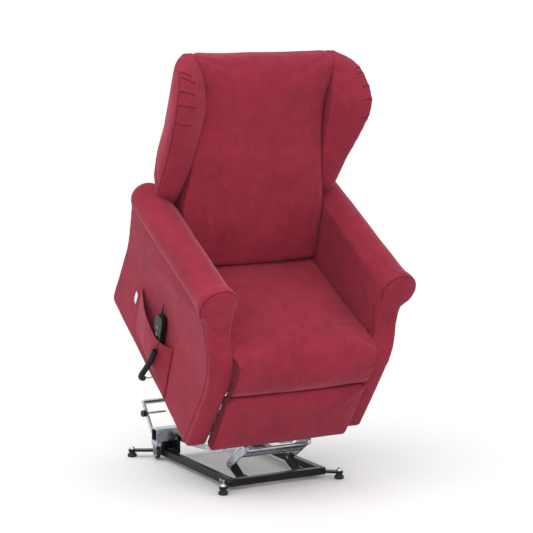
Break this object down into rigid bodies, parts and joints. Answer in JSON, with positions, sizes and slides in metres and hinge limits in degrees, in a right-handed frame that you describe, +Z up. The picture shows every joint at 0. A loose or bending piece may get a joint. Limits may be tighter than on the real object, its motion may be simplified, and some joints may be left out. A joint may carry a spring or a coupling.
{
  "type": "lift recliner chair",
  "caption": "Upholstered wing-back lift recliner chair on a tubular steel lift base, raised and tipped forward, with handset and footrest.",
  "frame": {"origin": "on the floor, under the middle of the chair's bounding box in its raised position", "axes": "+Z up, +X towards the sitter's left, -Y the way the chair faces"},
  "size_m": [0.8279, 0.9152, 1.4927],
  "materials": {
    "upholstery": "brushed microfibre",
    "black_frame": "satin powder coat",
    "zinc": "zinc plated",
    "rubber": "matt",
    "black_plastic": "satin",
    "button_grey": "satin",
    "spring_steel": "oiled",
    "beech": "plain sawn",
    "white_tag": "woven tape"
  },
  "bodies": {
    "base": {"front_rail": "black_frame", "side_rail_left": "black_frame", "side_rail_right": "black_frame", "front_legs": "black_frame", "rear_legs": "black_frame", "glide_feet": "rubber", "frame_bolts": "zinc", "pivot_brackets": "black_frame", "risers": "black_frame", "rear_beam": "zinc", "transport_handle": "zinc", "brace_rod": "zinc", "caster_brackets": "zinc", "pivot_pins": "zinc"},
    "caster_left": {"caster_wheel_left": "rubber"},
    "caster_right": {"caster_wheel_right": "rubber"},
    "rear_links": {"rear_link_left": "zinc", "rear_link_right": "zinc"},
    "front_links": {"front_link_left": "zinc", "front_link_right": "zinc", "front_cross_channel": "zinc", "front_cross_bar": "zinc"},
    "lift_actuator": {"lift_motor": "black_plastic", "lift_housing": "black_plastic"},
    "lift_push_rod": {"lift_rod": "zinc"},
    "chair": {"side_panel_left": "upholstery", "side_panel_right": "upholstery", "arm_front_left": "upholstery", "arm_front_right": "upholstery", "arm_roll_left": "upholstery", "arm_roll_right": "upholstery", "seat_cushion": "upholstery", "seat_springs": "spring_steel", "seat_side_rails": "beech", "seat_cross_rails": "beech", "lift_plate_left": "zinc", "lift_plate_right": "zinc", "lift_cross_tube": "zinc", "control_box": "black_plastic", "hand_pocket": "upholstery", "care_tag": "white_tag", "handset_case": "black_plastic", "handset_relief": "black_plastic", "cord_lead": "black_plastic", "cord_curl": "black_plastic", "cord_tail": "black_plastic"},
    "up_button": {"button_up": "button_grey"},
    "down_button": {"button_down": "button_grey"},
    "back": {"back_cushion": "upholstery", "wing_left": "upholstery", "wing_right": "upholstery", "back_shell": "upholstery", "back_frame": "black_frame"},
    "recline_actuator": {"recline_housing": "black_plastic"},
    "recline_push_rod": {"recline_rod": "zinc"},
    "footrest_drive": {"footrest_drive_links": "zinc"},
    "footrest_lift": {"footrest_lift_links": "zinc"},
    "footrest": {"footrest_board": "beech", "footrest_pad": "upholstery"}
  },
  "joints": [
    {"name": "caster_spin_left", "type": "hinge", "parent": "base", "child": "caster_left", "pos_m": [0.205, 0.33963, 0.026], "axis": [1, 0, 0], "continuous": true},
    {"name": "caster_spin_right", "type": "hinge", "parent": "base", "child": "caster_right", "pos_m": [-0.205, 0.33963, 0.026], "axis": [1, 0, 0], "continuous": true},
    {"name": "rear_link_swing", "type": "hinge", "parent": "base", "child": "rear_links", "pos_m": [0, 0.29463, 0.082], "axis": [1, 0, 0], "range_deg": [0, 13.08]},
    {"name": "lift", "type": "hinge", "parent": "rear_links", "child": "chair", "pos_m": [0, -0.15732, 0.17536], "axis": [-1, 0, 0], "range_deg": [0, 49.07]},
    {"name": "front_link_swing", "type": "hinge", "parent": "base", "child": "front_links", "pos_m": [0, -0.06537, 0.058], "axis": [1, 0, 0], "range_deg": [0, 34.25]},
    {"name": "lift_actuator_swing", "type": "hinge", "parent": "base", "child": "lift_actuator", "pos_m": [0, 0.29463, 0.1], "axis": [1, 0, 0], "range_deg": [0, 6.96]},
    {"name": "lift_rod_slide", "type": "slide", "parent": "lift_actuator", "child": "lift_push_rod", "axis": [0, -0.9119, 0.4103], "range_m": [-0.12216, 0]},
    {"name": "recline", "type": "hinge", "parent": "chair", "child": "back", "pos_m": [0, 0.14161, 0.68832], "axis": [-1, 0, 0], "range_deg": [0, 35]},
    {"name": "recline_actuator_swing", "type": "hinge", "parent": "chair", "child": "recline_actuator", "pos_m": [0, -0.10558, 0.34804], "axis": [1, 0, 0], "range_deg": [0, 3.6]},
    {"name": "recline_rod_slide", "type": "slide", "parent": "recline_actuator", "child": "recline_push_rod", "axis": [0, 0.7547, 0.6561], "range_m": [-0.0522, 0]},
    {"name": "footrest_extend", "type": "hinge", "parent": "chair", "child": "footrest_drive", "pos_m": [0, -0.17466, 0.40909], "axis": [-1, 0, 0], "range_deg": [0, 85]},
    {"name": "footrest_lift_swing", "type": "hinge", "parent": "footrest_drive", "child": "footrest_lift", "pos_m": [0, -0.06886, 0.26347], "axis": [1, 0, 0], "range_deg": [0, 85.01]},
    {"name": "footrest_turn", "type": "hinge", "parent": "footrest_lift", "child": "footrest", "pos_m": [0, -0.2694, 0.32172], "axis": [-1, 0, 0], "range_deg": [0, 85.01]},
    {"name": "press_up", "type": "slide", "parent": "chair", "child": "up_button", "axis": [1, 0, 0], "range_m": [0, 0.0015], "stiffness_N_per_m": 300},
    {"name": "press_down", "type": "slide", "parent": "chair", "child": "down_button", "axis": [1, 0, 0], "range_m": [0, 0.0015], "stiffness_N_per_m": 300}
  ],
  "couplings": [
    {"joint": "rear_link_swing", "follows": "lift", "ratio": 0.26639},
    {"joint": "front_link_swing", "follows": "lift", "ratio": 0.69782},
    {"joint": "lift_actuator_swing", "follows": "lift", "ratio": 0.14163},
    {"joint": "lift_rod_slide", "follows": "lift", "m_per_rad": -0.14251},
    {"joint": "recline_actuator_swing", "follows": "recline", "ratio": 0.1025},
    {"joint": "recline_rod_slide", "follows": "recline", "m_per_rad": -0.085289},
    {"joint": "footrest_lift_swing", "follows": "footrest_extend", "ratio": 1},
    {"joint": "footrest_turn", "follows": "footrest_extend", "ratio": 1}
  ]
}
